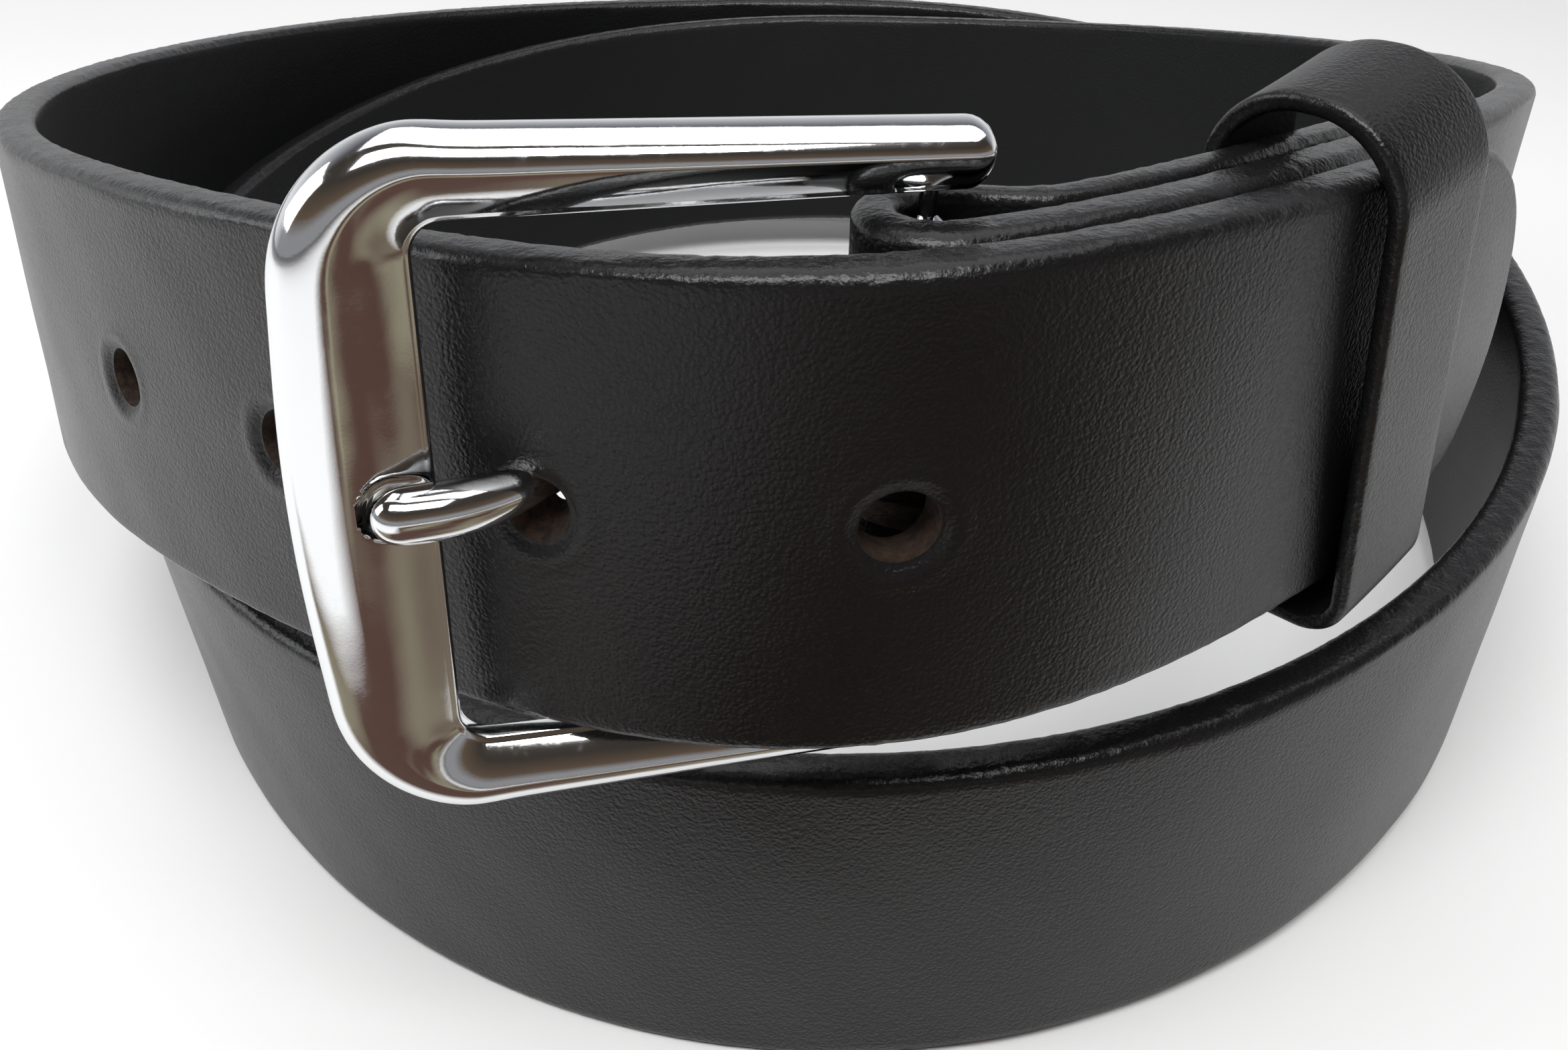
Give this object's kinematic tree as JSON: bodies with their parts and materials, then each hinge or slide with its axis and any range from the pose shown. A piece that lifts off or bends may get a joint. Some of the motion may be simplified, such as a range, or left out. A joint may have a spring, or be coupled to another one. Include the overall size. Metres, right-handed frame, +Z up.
{
  "type": "belt",
  "caption": "Black leather dress belt with a polished heel-bar buckle, buckled through its size holes and coiled in winds standing on edge",
  "frame": {"origin": "on the table under the middle of the coil's bounding box", "axes": "+Z up, +Y from the buckle towards the back of the coil, +X to the right when looking at the buckle"},
  "size_m": [0.1904, 0.222, 0.0925],
  "materials": {
    "strap_leather": "satin full-grain, burnished bevelled edges",
    "keeper_leather": "satin full-grain",
    "polished_metal": "polished",
    "screw_metal": "satin nickel"
  },
  "bodies": {
    "belt_strap": {"strap": "strap_leather", "screw_posts": "screw_metal", "screws": "screw_metal"},
    "buckle": {"buckle_frame": "polished_metal"},
    "prong": {"prong": "polished_metal"},
    "keeper": {"keeper_loop": "keeper_leather", "keeper_staple": "screw_metal"}
  },
  "joints": [
    {"name": "buckle_tilt", "type": "hinge", "parent": "belt_strap", "child": "buckle", "pos_m": [0.00839, -0.09771, 0.06634], "axis": [0.0051, 0.0532, 0.9986], "range_deg": [-0.4, 3]},
    {"name": "prong_lift", "type": "hinge", "parent": "buckle", "child": "prong", "pos_m": [0.00839, -0.09771, 0.06634], "axis": [0.0051, 0.0532, 0.9986], "range_deg": [0, 2]},
    {"name": "keeper_slide", "type": "hinge", "parent": "belt_strap", "child": "keeper", "pos_m": [-0.10342, 0.06267, 0.05833], "axis": [-0.0134, 0.0253, 0.9996], "range_deg": [-2, 0.6]}
  ]
}
